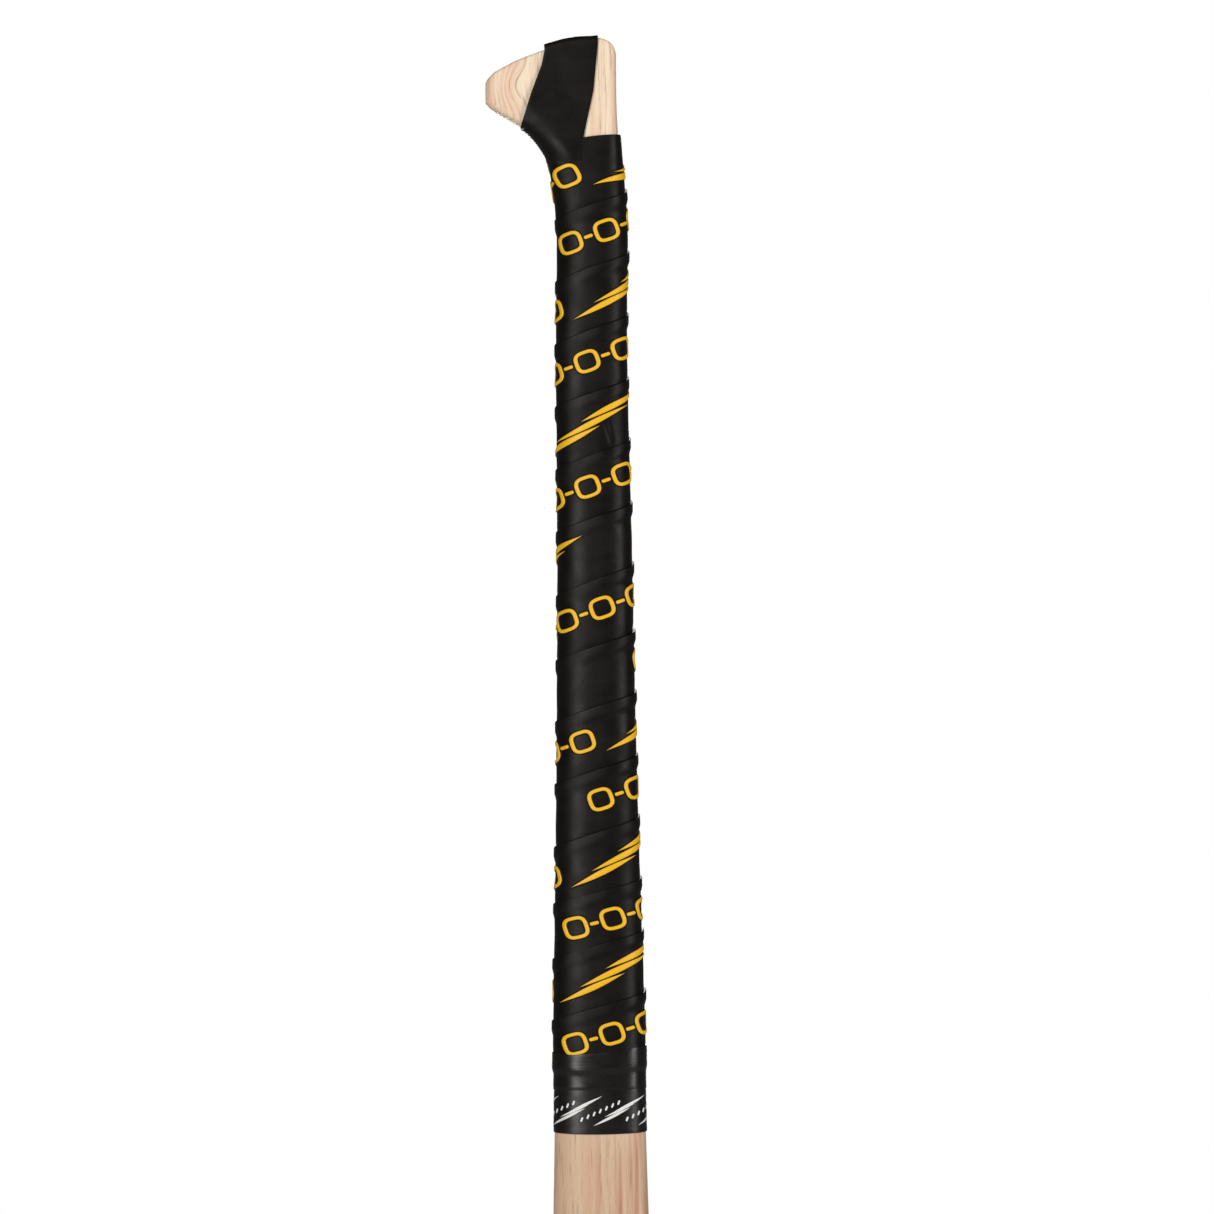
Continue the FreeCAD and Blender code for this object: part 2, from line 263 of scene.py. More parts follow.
def skin_rows(spacing):
    """Rings of (x, y, down) points down the stick, about one spacing apart, and how far along each is."""
    rings = [section_ring(*section) for section in SECTIONS] + toe_rings()
    middles = np.array([ring.mean(axis=0) for ring in rings])
    knots = np.concatenate(([0.0], np.cumsum(np.linalg.norm(np.diff(middles, axis=0), axis=1))))
    wanted = np.unique(np.concatenate((knots, np.arange(0.0, knots[-1], spacing))))
    flat = np.array(rings).reshape(len(rings), -1)
    return spline_rows(knots, flat, wanted).reshape(len(wanted), POINTS_AROUND, 3), wanted


def to_frame(points):
    """(x, y, down) in millimetres to the frame's metres."""
    points = np.asarray(points, dtype=float)
    return np.stack((points[..., 0], points[..., 1], HAND_HOLD_DOWN - points[..., 2]), axis=-1) * MM


def plain_tape_top(fraction):
    """How far down the first tape's top edge is: it leans, and dips in front and behind."""
    turn = np.asarray(fraction) * 2 * math.pi
    return PLAIN_TAPE_TOP + 1.8 * np.abs(np.sin(turn)) - 1.5 * np.cos(turn)


class Handle:
    """The handle's surface between the knob and the bas, read by (down, fraction of a turn)."""
    TOP = 28.0
    BOTTOM = 520.0
    NORMAL_STEP = 0.006

    def __init__(self):
        rings = [section_ring(*section) for section in SECTIONS if section[0][1] < 620]
        downs = np.array([ring[0, 2] for ring in rings])
        self.downs = np.arange(self.TOP, self.BOTTOM, 1.0)
        rows = spline_rows(downs, np.array(rings)[:, :, :2].reshape(len(rings), -1), self.downs)
        self.rows = rows.reshape(len(self.downs), POINTS_AROUND, 2)
        steps = np.linalg.norm(np.roll(self.rows, -1, axis=1) - self.rows, axis=2)
        self.girths = steps.sum(axis=1)

    def girth(self, down):
        return np.interp(down, self.downs, self.girths)

    def flat_point(self, down, fraction):
        """The wood's (x, y) at a down and a fraction of a turn from the right end round the front."""
        row = np.clip(down - self.TOP, 0, len(self.downs) - 1.001)
        low = row.astype(int)
        part = (row - low)[..., None]
        place = (fraction % 1.0) * POINTS_AROUND
        column = np.floor(place).astype(int) % POINTS_AROUND
        following = (column + 1) % POINTS_AROUND
        share = (place - np.floor(place))[..., None]
        upper = self.rows[low, column] * (1 - share) + self.rows[low, following] * share
        lower = self.rows[low + 1, column] * (1 - share) + self.rows[low + 1, following] * share
        return upper * (1 - part) + lower * part

    def point(self, down, fraction, height):
        """The point at a height above the wood, as (x, y, down)."""
        down, fraction = np.broadcast_arrays(np.asarray(down, float), np.asarray(fraction, float))
        here = self.flat_point(down, fraction)
        ahead = (self.flat_point(down, fraction + self.NORMAL_STEP)
                 - self.flat_point(down, fraction - self.NORMAL_STEP))
        normal = np.stack((-ahead[..., 1], ahead[..., 0]), axis=-1)
        normal = -normal / np.linalg.norm(normal, axis=-1, keepdims=True)
        outward = np.sign((normal * here).sum(axis=-1, keepdims=True))
        flat = here + normal * outward * np.asarray(height)[..., None]
        return np.concatenate((flat, down[..., None]), axis=-1)


handle = Handle()


# ---------------------------------------------------------------- mesh helpers

def new_piece(name, points, faces, material, sharp_degrees=None):
    """An object of (x, y, down) points that rides on the stick."""
    mesh = bpy.data.meshes.new(name)
    mesh.from_pydata(to_frame(points).tolist(), [], faces)
    mesh.validate()
    mesh.shade_smooth()
    if sharp_degrees is not None:
        mesh.set_sharp_from_angle(angle=math.radians(sharp_degrees))
    piece = bpy.data.objects.new(name, mesh)
    bpy.context.collection.objects.link(piece)
    mesh.materials.append(material)
    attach(piece, "root")
    return piece


def grid_faces(rows, columns, wrap_rows=False, wrap_columns=False, start=0):
    """Four-sided faces between neighbouring points of a grid whose first point has the index start."""
    faces = []
    for i in range(rows if wrap_rows else rows - 1):
        for j in range(columns if wrap_columns else columns - 1):
            a = start + i * columns + j
            b = start + i * columns + (j + 1) % columns
            c = start + ((i + 1) % rows) * columns + (j + 1) % columns
            d = start + ((i + 1) % rows) * columns + j
            faces.append((a, b, c, d))
    return faces


def smooth_step(low, high, value):
    part = np.clip((value - low) / (high - low), 0, 1)
    return part * part * (3 - 2 * part)


# ---------------------------------------------------------------- shader helpers

def new_material(name, colour=(0.5, 0.5, 0.5), roughness=0.5, specular=0.5, metallic=0.0):
    material = bpy.data.materials.new(name)
    material.use_nodes = True
    tree = material.node_tree
    shader = tree.nodes["Principled BSDF"]
    shader.inputs["Base Color"].default_value = (*colour, 1)
    shader.inputs["Roughness"].default_value = roughness
    shader.inputs["Specular IOR Level"].default_value = specular
    shader.inputs["Metallic"].default_value = metallic
    return material, tree, shader


def add_node(tree, kind, *inputs, **settings):
    """A node with its first inputs filled by sockets or values, in order; None leaves one alone."""
    node = tree.nodes.new(kind)
    for name, value in settings.items():
        setattr(node, name, value)
    for socket, value in zip(node.inputs, inputs):
        if isinstance(value, bpy.types.NodeSocket):
            tree.links.new(value, socket)
        elif value is not None:
            socket.default_value = value
    return node


def maths(tree, operation, *inputs):
    return add_node(tree, "ShaderNodeMath", *inputs, operation=operation).outputs[0]


def stretched(tree, coordinates, scales):
    return add_node(tree, "ShaderNodeVectorMath", coordinates, scales, operation="MULTIPLY").outputs[0]


def noise(tree, coordinates, scale, detail=3.0, roughness=0.55):
    texture = add_node(tree, "ShaderNodeTexNoise")
    tree.links.new(coordinates, texture.inputs["Vector"])
    texture.inputs["Scale"].default_value = scale
    texture.inputs["Detail"].default_value = detail
    texture.inputs["Roughness"].default_value = roughness
    return texture.outputs[0]


def ranged(tree, value, low, high, to_low=0.0, to_high=1.0, smooth=True):
    style = "SMOOTHSTEP" if smooth else "LINEAR"
    mapping = add_node(tree, "ShaderNodeMapRange", value, low, high, to_low, to_high,
                       interpolation_type=style)
    return mapping.outputs[0]


def mixed(tree, factor, first, second):
    mix = tree.nodes.new("ShaderNodeMix")
    mix.data_type = "RGBA"
    for index, value in ((0, factor), (6, first), (7, second)):
        if isinstance(value, bpy.types.NodeSocket):
            tree.links.new(value, mix.inputs[index])
        elif index:
            mix.inputs[index].default_value = (*value, 1)
        else:
            mix.inputs[index].default_value = value
    return mix.outputs[2]


def object_millimetres(tree):
    place = tree.nodes.new("ShaderNodeTexCoord").outputs["Object"]
    return stretched(tree, place, (1000, 1000, 1000))


def add_bump(tree, shader, height, distance, strength=1.0):
    bump = tree.nodes.new("ShaderNodeBump")
    bump.inputs["Strength"].default_value = strength
    bump.inputs["Distance"].default_value = distance
    tree.links.new(height, bump.inputs["Height"])
    tree.links.new(bump.outputs[0], shader.inputs["Normal"])


# ---------------------------------------------------------------- materials

def ash_material():
    """Ring-porous ash: pale late wood, narrow tan pore lines along the grain, reddish heart streaks."""
    material, tree, shader = new_material("ash", roughness=0.5, specular=0.35)
    attribute = tree.nodes.new("ShaderNodeAttribute")
    attribute.attribute_name = "grain"
    grain = attribute.outputs["Vector"]
    across, depth, along = add_node(tree, "ShaderNodeSeparateXYZ", grain).outputs
    sway = noise(tree, stretched(tree, grain, (0.05, 0.05, 0.006)), 1.0)
    from_pith = maths(tree, "SQRT", maths(
        tree, "ADD",
        maths(tree, "POWER", maths(tree, "SUBTRACT", across, PITH_ACROSS), 2.0),
        maths(tree, "POWER", maths(tree, "SUBTRACT", depth, PITH_DEPTH), 2.0)))
    swayed = maths(tree, "ADD", from_pith, ranged(tree, sway, 0.2, 0.8, -5.0, 5.0, smooth=False))
    ring = maths(tree, "FRACT", maths(tree, "DIVIDE", swayed, RING_SPACING))
    early = maths(tree, "MULTIPLY", ranged(tree, ring, 0.0, 0.08), ranged(tree, ring, 0.5, 0.12))
    fine = noise(tree, stretched(tree, grain, (2.6, 2.6, 0.09)), 1.0, 2.0)
    pores = maths(tree, "MULTIPLY", ranged(tree, fine, 0.5, 0.66), ranged(tree, early, 0.0, 1.0, 0.25, 1.0))
    fibres = noise(tree, stretched(tree, grain, (1.1, 1.1, 0.02)), 1.0, 5.0, 0.7)
    broad = noise(tree, stretched(tree, grain, (0.11, 0.11, 0.004)), 1.0, 2.0)

    pale = mixed(tree, ranged(tree, fibres, 0.3, 0.7), (0.99, 0.87, 0.68), (0.93, 0.75, 0.55))
    tan = mixed(tree, maths(tree, "MULTIPLY", early, 0.24), pale, (0.66, 0.40, 0.26))
    streaked = mixed(tree, ranged(tree, broad, 0.46, 0.62, 0.0, 0.6), tan, (0.85, 0.54, 0.38))
    # The wood gets darker and redder towards the bottom of the handle, blending into the colour of the red
    # lines.
    lower = ranged(tree, along, 430.0, 500.0)
    bands = noise(tree, stretched(tree, grain, (0.34, 0.34, 0.008)), 1.0, 3.0, 0.6)
    to_the_right = ranged(tree, across, -9.0, 4.0)
    red = maths(tree, "MULTIPLY", ranged(tree, bands, 0.44, 0.62), to_the_right)
    lower_tone_and_red_lines = mixed(tree, red, (0.64, 0.43, 0.28), (0.47, 0.20, 0.12))
    darker_towards_bottom = maths(tree, "MULTIPLY", lower, 0.78)
    coloured = mixed(tree, darker_towards_bottom, streaked, lower_tone_and_red_lines)
    pored = mixed(tree, maths(tree, "MULTIPLY", pores, 0.5), coloured, (0.30, 0.15, 0.08))
    tree.links.new(pored, shader.inputs["Base Color"])
    tree.links.new(ranged(tree, fibres, 0.3, 0.7, 0.42, 0.58), shader.inputs["Roughness"])
    relief = maths(tree, "SUBTRACT", maths(tree, "MULTIPLY", fibres, 0.5), pores)
    add_bump(tree, shader, relief, 0.00012, 0.6)
    return material


def rubber_material():
    """Satin black rubber, finely grained, with faint dusty smears."""
    material, tree, shader = new_material("grip_rubber", (0.004, 0.0032, 0.0027), 0.4, 0.175)
    place = object_millimetres(tree)
    clouds = noise(tree, place, 0.09, 3.0)
    grain = noise(tree, place, 2.4, 3.0)
    smears = noise(tree, stretched(tree, place, (0.05, 0.05, 0.4)), 1.0, 4.0)
    dust = ranged(tree, smears, 0.5, 0.75, 0.0, 0.6)
    dusted = mixed(tree, dust, (0.0042, 0.0033, 0.0028), (0.0085, 0.0068, 0.0058))
    tree.links.new(dusted, shader.inputs["Base Color"])
    tree.links.new(ranged(tree, clouds, 0.3, 0.7, 0.32, 0.47), shader.inputs["Roughness"])
    add_bump(tree, shader, maths(tree, "ADD", grain, maths(tree, "MULTIPLY", clouds, 3.0)), 0.00009, 0.55)
    return material


def motif_material():
    """Yellow rubber, a little uneven in tone."""
    material, tree, shader = new_material("motif_yellow", (0.93, 0.52, 0.006), 0.42, 0.45)
    place = object_millimetres(tree)
    tone = noise(tree, place, 0.5, 3.0)
    tree.links.new(mixed(tree, tone, (0.90, 0.48, 0.004), (0.97, 0.58, 0.01)), shader.inputs["Base Color"])
    add_bump(tree, shader, noise(tree, place, 1.8), 0.00006, 0.5)
    return material


def vinyl_material(name, base, roughness):
    """Glossy black vinyl with smudges and fine ridges round the handle."""
    material, tree, shader = new_material(name, base, roughness, 0.36)
    place = object_millimetres(tree)
    smudges = noise(tree, place, 0.16, 4.0)
    uneven = ranged(tree, smudges, 0.3, 0.7, roughness - 0.03, roughness + 0.06)
    tree.links.new(uneven, shader.inputs["Roughness"])
    ridges = noise(tree, stretched(tree, place, (0.05, 0.05, 1.3)), 1.0, 3.0)
    add_bump(tree, shader, ridges, 0.00012, 0.5)
    return material


def print_material():
    """White print, worn in places."""
    material, tree, shader = new_material("tape_print", (0.85, 0.85, 0.85), 0.4, 0.4)
    wear = noise(tree, object_millimetres(tree), 1.1, 4.0)
    worn = mixed(tree, ranged(tree, wear, 0.56, 0.72), (0.87, 0.87, 0.87), (0.6, 0.6, 0.6))
    tree.links.new(worn, shader.inputs["Base Color"])
    return material


def steel_material(name, base, roughness):
    """Steel with rolled lines, a cloudy surface and a few darker worn marks."""
    material, tree, shader = new_material(name, base, roughness, 0.5, 1.0)
    place = object_millimetres(tree)
    clouds = noise(tree, place, 0.22, 4.0)
    lines = noise(tree, stretched(tree, place, (0.3, 0.3, 5.0)), 1.0, 3.0)
    marks = noise(tree, place, 0.8, 6.0, 0.7)
    dulled = mixed(tree, ranged(tree, clouds, 0.35, 0.7), base, tuple(0.84 * part for part in base))
    marked = mixed(tree, ranged(tree, marks, 0.62, 0.76, 0.0, 0.5), dulled, (0.2, 0.17, 0.15))
    tree.links.new(marked, shader.inputs["Base Color"])
    uneven = maths(tree, "ADD", ranged(tree, clouds, 0.3, 0.7, roughness - 0.08, roughness + 0.12),
                   ranged(tree, marks, 0.58, 0.72, 0.0, 0.25))
    tree.links.new(uneven, shader.inputs["Roughness"])
    add_bump(tree, shader, maths(tree, "ADD", lines, clouds), 0.00006, 0.6)
    return material


# ---------------------------------------------------------------- the wood

def knob_rows(ring):
    """Rows from the middle of the knob's domed top out to its edge and down to the ring."""
    x, y, down = ring.T
    middle = (x.max() + x.min()) / 2
    half_width = (x.max() - x.min()) / 2
    half_depth = np.abs(y).max()
    radius = KNOB_EDGE_RADIUS
    inner_x = middle + (x - middle) * (1 - radius / half_width)
    rows = []
    for share in np.linspace(0.0, 1.0, 9)[:-1]:
        inner_y = y * (1 - radius / half_depth) * share
        rows.append(np.column_stack((inner_x, inner_y, knob_top(inner_x))))
    for turn in np.radians(np.linspace(0, 90, 6)):
        inset = radius * (1 - math.sin(turn))
        edge_x = middle + (x - middle) * (1 - inset / half_width)
        edge_y = y * (1 - inset / half_depth)
        rows.append(np.column_stack((edge_x, edge_y, knob_top(edge_x) + radius * (1 - math.cos(turn)))))
    edge_down = knob_top(x) + radius
    for share in np.linspace(0.0, 1.0, 17)[1:-1]:
        rows.append(np.column_stack((x, y, edge_down * (1 - share) + down * share)))
    return rows


def grain_coordinates(rows, stations):
    """(across the grain, depth, along the grain) for every point, in millimetres."""
    values = []
    for row, station in zip(rows, stations):
        from_right_end = np.hypot(row[:, 0] - row[0, 0], row[:, 2] - row[0, 2])
        across = np.where(station > BAS_START, BAS_START_RIGHT - from_right_end, row[:, 0])
        along = np.where(station > BAS_START, station, row[:, 2])
        near_knot = ((row[:, 0] - KNOT_X) / 7.0) ** 2 + ((row[:, 2] - KNOT_DOWN) / 10.0) ** 2
        swirl = KNOT_PUSH * np.exp(-near_knot)
        values.append(np.column_stack((across + swirl, row[:, 1], along)))
    return np.vstack(values)


def make_wood(material):
    """The whole board: the knob's own rows, then the skin's rings down to the toe, and a point at its tip."""
    rings, lengths = skin_rows(WOOD_ROW_SPACING)
    first_down = SECTIONS[0][0][1]
    kept = [i for i, ring in enumerate(rings) if ring[0, 2] >= KNOB_RING_DOWN]
    top_rows = knob_rows(rings[kept[0]])
    rows = top_rows + [rings[i] for i in kept]
    stations = [0.0] * len(top_rows) + [lengths[i] + first_down for i in kept]
    tip = rows[-1].mean(axis=0) * (1, 0, 1)
    points = np.vstack(rows + [tip[None, :]])
    faces = grid_faces(len(rows), POINTS_AROUND, wrap_columns=True)
    last = (len(rows) - 1) * POINTS_AROUND
    faces += [(last + j, last + (j + 1) % POINTS_AROUND, len(points) - 1) for j in range(POINTS_AROUND)]
    piece = new_piece("ash_board", points, faces, material)
    values = np.vstack((grain_coordinates(rows, stations), (-50.0, 0.0, 900.0)))
    attribute = piece.data.attributes.new("grain", "FLOAT_VECTOR", "POINT")
    attribute.data.foreach_set("vector", values.astype(np.float32).ravel())
    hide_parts("ash_stick")


# ---------------------------------------------------------------- the wound grip

def strip_top(turn):
    """How far down the strip's top edge is, at a turn counted from the handle's right side."""
    whole_turns = tuple(range(1, len(STRAYS) + 1))
    whole_turn_downs = tuple(FIRST_WHOLE_TURN_DOWN + PITCH * i + stray for i, stray in enumerate(STRAYS))
    knots = np.array(EARLY_TURNS + whole_turns, float)
    values = np.array(EARLY_DOWNS + whole_turn_downs)[:, None]
    turn = np.asarray(turn, float)
    return spline_rows(knots, values, turn.ravel())[:, 0].reshape(turn.shape)


def hump(value, middle, reach, power=2):
    """1 in the middle, falling away to nothing on both sides."""
    return np.exp(-((value - middle) / reach) ** power)


def strip_height(across, turn):
    """The strip's outer surface above the wood: it rides up on the edge of the turn before it."""
    pressed = 1 - 0.72 * hump(turn % 1.0, 0.35, 0.11)
    free = 1 - smooth_step(-3.0, 0.0, strip_top(turn) + across - plain_tape_top(turn))
    lap = LAP_RISE * (1 - smooth_step(3.6, 7.0, across)) * smooth_step(0.42, 0.6, turn) * pressed
    swell = 0.13 * np.sin(turn * 9.1 + across * 0.21) * np.sin(turn * 3.7 - across * 0.13)
    crease_turn = CREASE_TURN - 0.0035 * (across - 20.0)
    crease = -0.5 * hump(turn, crease_turn, 0.011) * hump(across, 20.5, 5.0, 4)
    pucker = 0.2 * hump(turn, crease_turn - 0.03, 0.02) * hump(across, 17.0, 4.0)
    tuck = -0.45 * smooth_step(26.5, 30.0, across)
    return RUBBER + (lap + swell + crease + pucker) * free + tuck


def make_strip(material):
    """The wound strip: its rounded top edge and its width, swept along all the turns."""
    turns = np.arange(FIRST_TURN, LAST_TURN, 1.0 / STEPS_PER_TURN)
    edge = np.radians(np.linspace(90, 0, 6))
    profile = [(0.0, -1.3), (0.0, -0.8)]
    profile += [(STRIP_EDGE_RADIUS * (1 - math.sin(a)), -STRIP_EDGE_RADIUS * (1 - math.cos(a))) for a in edge]
    profile += [(across, 0.0) for across in np.linspace(1.2, STRIP_WIDTH, 24)]
    lines = []
    for across, drop in profile:
        height = strip_height(np.full_like(turns, across), turns) + drop
        lines.append(handle.point(strip_top(turns) + across, turns, np.maximum(height, 0.05)))
    points = np.array(lines).reshape(-1, 3)
    faces = [face for face in grid_faces(len(profile), len(turns))
             if max(points[i, 2] for i in face) < GRIP_END_DOWN + 1.5]
    piece = new_piece("grip_strip", points, faces, material)
    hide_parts("grip_tape")


def strap_height(x, down, share):
    """The strap's mid surface above the wood. It bridges the knob's neck and runs out onto the first turn."""
    from_neck_fold = (x + 27.5) * 0.76 - (down - 33.7) * 0.65
    bridge = smooth_step(-3.5, 3.5, from_neck_fold) * (1 - smooth_step(2.0, 22.0, from_neck_fold))
    run_out = smooth_step(50, 60, down)
    right_edge = (1 - smooth_step(0.0, 0.35, share)) * smooth_step(42.5, 46, down)
    return 0.65 + 0.8 * bridge * (1 - run_out) - 0.5 * run_out - 0.45 * right_edge


def strap_bulge(x, below_top):
    """How far the strap stands up off the knob's top, where it is stretched over the nose."""
    return STRAP_BULGE * (1 - smooth_step(-13.0, 6.0, x)) * (1 - smooth_step(0.5, 7.0, below_top))


def strap_front(share):
    """One line of the strap, from the front of the first turn up to the rounded edge of the knob's top."""
    fractions = np.linspace(0.0, 0.5, 401)
    front = []
    for down in np.arange(STRAP_END_DOWN, -1.0, -1.0):
        outline = handle.flat_point(np.full_like(fractions, down), fractions)
        left = np.interp(down, STRAP_LEFT_DOWNS, STRAP_LEFTS)
        right = np.interp(down, STRAP_RIGHT_DOWNS, STRAP_RIGHTS)
        limits = np.interp((-right, -left), -outline[:, 0], fractions)
        fraction = limits[0] * (1 - share) + limits[1] * share
        x = np.interp(fraction, fractions, outline[:, 0])
        if down < knob_top(x) + KNOB_EDGE_RADIUS:
            break
        front.append(handle.point(np.array(down), np.array(fraction), strap_height(x, down, share)))
    return np.array(front)


def strap_column(share):
    """One line of the strap, up the front, over the knob's top and down the back."""
    front = strap_front(share)
    x, y, _ = front[-1]
    top = knob_top(x)
    flat_depth = abs(y) - STRAP_LIFT - KNOB_EDGE_RADIUS
    lengths = np.concatenate(([0.0], np.cumsum(np.linalg.norm(np.diff(front, axis=0), axis=1))))
    even = np.linspace(0.0, lengths[-1], 56)
    rows = [tuple(np.interp(s, lengths, front[:, k]) for k in range(3)) for s in even]
    for turn in np.radians(np.linspace(12, 90, 6)):
        out = (KNOB_EDGE_RADIUS + STRAP_LIFT) * math.cos(turn)
        up = (KNOB_EDGE_RADIUS + STRAP_LIFT) * math.sin(turn)
        rows.append((x, -(flat_depth + out), top + KNOB_EDGE_RADIUS - up))
    for part in np.linspace(1.0, 0.0, 6)[1:]:
        rows.append((x, -flat_depth * part, top - STRAP_LIFT))
    rows = [(px, py, down - strap_bulge(px, down - top)) for px, py, down in rows]
    return rows + [(px, -py, down) for px, py, down in rows[-2::-1]]


def make_strap(material):
    """The strap over the knob, a sheet from the front across the top to the back."""
    points = np.array([strap_column(share) for share in np.linspace(0.0, 1.0, 25)])
    faces = grid_faces(points.shape[0], points.shape[1])
    piece = new_piece("knob_strap", points.reshape(-1, 3), faces, material)
    thickness = piece.modifiers.new("thickness", "SOLIDIFY")
    thickness.thickness = STRAP_THICKNESS * MM
    thickness.offset = 0
    rounding = piece.modifiers.new("rounding", "BEVEL")
    rounding.width = 0.3 * MM
    rounding.segments = 3
    rounding.limit_method = "ANGLE"
    rounding.angle_limit = math.radians(50)


# ---------------------------------------------------------------- moulded and printed marks

def bar(start, end, half_width, points=14, pointed=False):
    """A stroke between two (right, up) places. It narrows to almost nothing at its ends, which closes it."""
    shares = (1 - np.cos(np.linspace(0, math.pi, points))) / 2
    path = np.array(start) + np.outer(shares, np.array(end) - np.array(start))
    swell = np.sin(shares * math.pi) if pointed else np.minimum(1, np.sqrt(np.sin(shares * math.pi) * 3))
    return path, half_width * np.maximum(swell, 0.02), False


def link(middle, width, height, half_width):
    """A closed link, like one of a chain."""
    turn = np.linspace(0, 2 * math.pi, 40, endpoint=False)
    across = np.sign(np.cos(turn)) * np.abs(np.cos(turn)) ** 0.62 * width / 2
    up = np.sign(np.sin(turn)) * np.abs(np.sin(turn)) ** 0.62 * height / 2
    return np.column_stack((across + middle, up)), np.full_like(turn, half_width), True


def chain_strokes():
    """A chain of links joined by short bars."""
    half = STROKE_WIDTH / 2
    strokes = []
    for i in range(LINK_COUNT):
        middle = FIRST_LINK + i * LINK_SPACING
        strokes.append(link(middle, LINK_WIDTH, MARK_HEIGHT - half, half))
        if i < LINK_COUNT - 1:
            strokes.append(bar((middle + BAR_REACH[0], 0.0), (middle + BAR_REACH[1], 0.0), half))
    return strokes


def streak_strokes():
    """Three staggered, tapered streaks."""
    strokes = []
    for start, up, length in STREAKS:
        rise = STREAK_RISE * length
        left = (STREAK_START + start, up - rise / 2)
        right = (STREAK_START + start + length, up + rise / 2)
        strokes.append(bar(left, right, STREAK_HALF_WIDTH, 22, pointed=True))
    return strokes


def stroke_mesh(strokes, lift, height, grow, surface):
    """Rounded beads along the strokes. surface(right, up, height) gives the points."""
    profile = np.array((-1.0, -0.92, -0.66, -0.3, 0.0, 0.3, 0.66, 0.92, 1.0))
    crown = np.array((0.0, 0.6, 0.9, 1.0, 1.0, 1.0, 0.9, 0.6, 0.0)) * height + lift
    crown[[0, -1]] = -0.15
    points = []
    faces = []
    count = 0
    for path, half_widths, closed in strokes:
        ahead = np.roll(path, -1, axis=0) - np.roll(path, 1, axis=0)
        if not closed:
            ahead[0] = path[1] - path[0]
            ahead[-1] = path[-1] - path[-2]
        normal = np.column_stack((-ahead[:, 1], ahead[:, 0]))
        normal /= np.linalg.norm(normal, axis=1, keepdims=True)
        widths = half_widths + grow
        flat = path[:, None, :] + normal[:, None, :] * profile[None, :, None] * widths[:, None, None]
        heights = np.broadcast_to(crown, flat.shape[:2])
        points.append(surface(flat[..., 0], flat[..., 1], heights).reshape(-1, 3))
        faces += grid_faces(len(path), len(profile), wrap_rows=closed, start=count)
        count += len(path) * len(profile)
    return np.vstack(points), faces


def strip_surface(first_turn):
    """A function that lays (right, up, height) on the strip, from this turn on and sinking under the tape."""
    girth = handle.girth(strip_top(first_turn))

    def surface(right, up, height):
        turn = first_turn - (right - MARK_SLANT * up) / girth
        across = MARK_LINE - MARK_SQUASH * up
        down = strip_top(turn) + across
        free = 1 - smooth_step(0.0, 0.8, down - plain_tape_top(turn))
        return handle.point(down, turn, strip_height(across, turn) + height * free - 0.3 * (1 - free))
    return surface


def shown_strokes(start, strokes):
    """The strokes of the run from this turn that lie between the strip's first end and the tape."""
    girth = handle.girth(strip_top(start))
    shown = []
    for stroke in strokes:
        turn = start - stroke[0][:, 0] / girth
        if turn.min() > MARKS_FIRST_TURN and strip_top(turn).min() < MARKS_LAST_TOP:
            shown.append(stroke)
    return shown


def make_motifs(name, material, lift, height, grow):
    """The moulded marks, over and over down the grip, as one layer of beads."""
    strokes = chain_strokes() + streak_strokes()
    points = []
    faces = []
    count = 0
    for start in MARK_STARTS:
        shown = shown_strokes(start, strokes)
        if not shown:
            continue
        run_points, run_faces = stroke_mesh(shown, lift, height, grow, strip_surface(start))
        points.append(run_points)
        faces += [tuple(i + count for i in face) for face in run_faces]
        count += len(run_points)
    new_piece(name, np.vstack(points), faces, material)


# ---------------------------------------------------------------- the tapes

def tape_ring(name, profile, material, top=None, dip=0.0):
    """A ring from (down, height) pairs. top gives its top edge's place and dip bends its bottom edge."""
    fractions = np.linspace(0.0, 1.0, TAPE_STEPS, endpoint=False)
    in_front = np.abs(np.sin(fractions * 2 * math.pi))
    rows = []
    for i, (down, height) in enumerate(profile):
        share = i / (len(profile) - 1)
        bend = share * dip * in_front
        if top:
            bend = bend + (1 - share) * (top(fractions) - profile[0][0])
        wave = 0.03 * np.sin(fractions * 40 + down) + 0.04 * np.sin(fractions * 18.8 - down * 0.7)
        rows.append(handle.point(down + bend, fractions, height + wave * (height > 0.2)))
    points = np.array(rows).reshape(-1, 3)
    faces = grid_faces(len(rows), TAPE_STEPS, wrap_columns=True)
    return new_piece(name, points, faces, material, sharp_degrees=50)


def make_plain_tape(material):
    """The first tape: level over the grip's end, then down a step onto the wood."""
    profile = [(PLAIN_TAPE_TOP, 0.9), (PLAIN_TAPE_TOP, OVER_GRIP - 0.1), (PLAIN_TAPE_TOP + 0.3, OVER_GRIP)]
    profile += [(down, OVER_GRIP) for down in (447.0, 449.0, 451.0, 452.5)]
    profile += [(453.6, OVER_GRIP - 0.12), (454.9, 1.02), (456.0, 0.86), (458.0, 0.82), (460.5, 0.82)]
    profile += [(TAPE_JOINT - 0.1, 0.84), (TAPE_JOINT + 0.2, 0.78), (TAPE_JOINT + 0.25, 0.4)]
    piece = tape_ring("plain_tape_ring", profile, material, top=plain_tape_top)
    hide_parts("plain_finishing_tape")


def make_printed_tape(material):
    """The second tape: an even ring on the wood, its top edge under the first."""
    level = np.linspace(TAPE_JOINT + 0.4, TAPE_END - 0.4, 12)
    profile = [(TAPE_JOINT - 0.6, 0.2), (TAPE_JOINT - 0.5, PRINTED_HEIGHT)]
    profile += [(down, PRINTED_HEIGHT) for down in level]
    profile += [(TAPE_END - 0.1, 0.52), (TAPE_END, 0.4), (TAPE_END, 0.0)]
    piece = tape_ring("printed_tape_ring", profile, material, dip=0.8)
    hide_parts("printed_finishing_tape")


